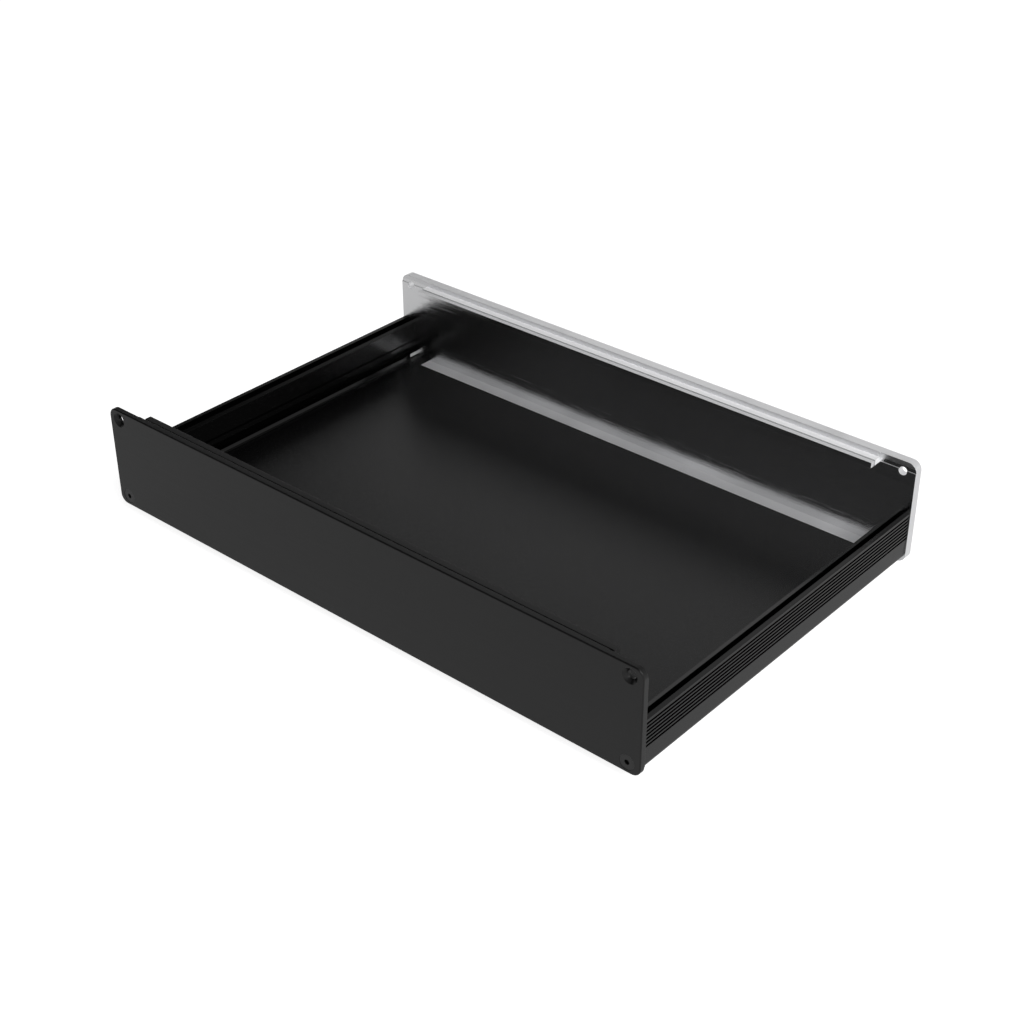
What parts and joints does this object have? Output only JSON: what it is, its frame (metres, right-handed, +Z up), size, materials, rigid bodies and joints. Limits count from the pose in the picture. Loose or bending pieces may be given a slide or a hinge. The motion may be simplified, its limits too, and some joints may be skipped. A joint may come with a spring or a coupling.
{
  "type": "amplifier chassis",
  "caption": "Low wide open amplifier chassis with a thick silver front panel, black rear panel, finned half-height side rails and a bottom plate on rubber feet.",
  "frame": {"origin": "centre of the chassis' outline, on the floor under the feet", "axes": "+X along the panels, +Y from the rear panel to the front panel, +Z up"},
  "size_m": [0.43, 0.2764, 0.0785],
  "materials": {
    "silver_anodised": "brushed",
    "black_anodised": "satin",
    "black_steel": "satin",
    "black_rubber": "matte"
  },
  "bodies": {
    "root": {"front_panel": "silver_anodised", "rear_panel": "black_anodised", "bottom_plate": "black_anodised", "left_side_rail": "black_anodised", "right_side_rail": "black_anodised", "front_panel_screws": "black_steel", "rear_panel_screws": "black_steel", "rear_left_foot": "black_rubber", "rear_right_foot": "black_rubber", "front_left_foot": "black_rubber", "front_right_foot": "black_rubber"}
  },
  "joints": []
}
